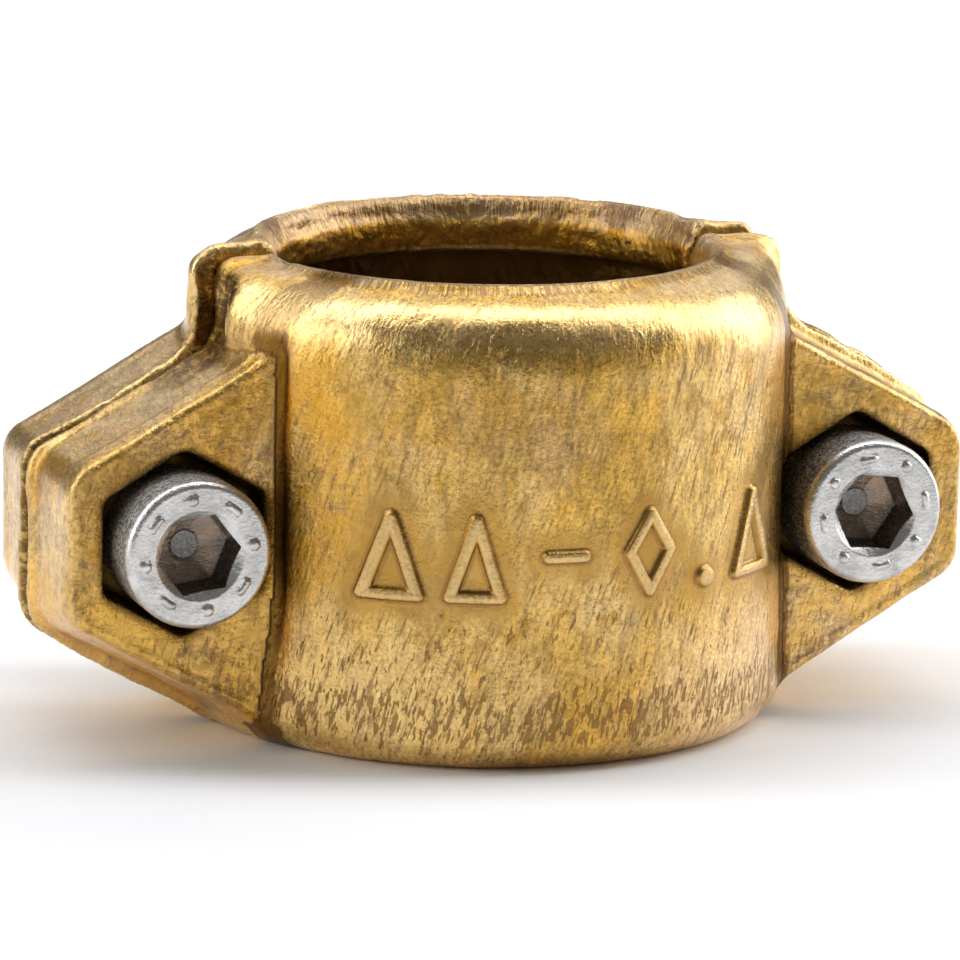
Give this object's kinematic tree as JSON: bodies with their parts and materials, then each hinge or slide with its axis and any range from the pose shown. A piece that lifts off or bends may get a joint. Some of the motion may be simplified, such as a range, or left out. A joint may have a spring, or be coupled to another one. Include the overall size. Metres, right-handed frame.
{
  "type": "hose clamp",
  "caption": "Split brass safety clamp for a fabric-reinforced hose: two forged half shells with a hooked lip and gripping ribs, drawn together by cap screws and hex nuts.",
  "frame": {"origin": "on the bore axis, in the plane of the base ring, midway between the two halves", "axes": "+Z along the bore from the hose end to the lip, +X along the ears to the right screw, +Y from the front half (screw heads) to the rear half (nuts)"},
  "size_m": [0.0656, 0.0416, 0.0322],
  "materials": {
    "forged_brass": "hot-forged, blasted and lightly tarnished, satin",
    "stainless_steel": "plain stainless steel, satin with bright edges"
  },
  "bodies": {
    "rear": {"rear_half": "forged_brass", "left_hex_nut": "stainless_steel", "right_hex_nut": "stainless_steel"},
    "front": {"front_half": "forged_brass"},
    "left_screw": {"left_cap_screw": "stainless_steel"},
    "right_screw": {"right_cap_screw": "stainless_steel"}
  },
  "joints": [
    {"name": "front_slide", "type": "slide", "parent": "rear", "child": "front", "axis": [0, -1, 0], "range_m": [-0.0003, 0.008]},
    {"name": "left_screw_turn", "type": "hinge", "parent": "front", "child": "left_screw", "pos_m": [-0.0241, -0.00595, 0.0143], "axis": [0, -1, 0], "range_deg": [-110, 2885]},
    {"name": "right_screw_turn", "type": "hinge", "parent": "front", "child": "right_screw", "pos_m": [0.0241, -0.00595, 0.0143], "axis": [0, -1, 0], "range_deg": [-110, 2885]}
  ],
  "couplings": [
    {"joint": "left_screw_turn", "follows": "front_slide", "rad_per_m": 6283.2},
    {"joint": "right_screw_turn", "follows": "front_slide", "rad_per_m": 6283.2}
  ]
}
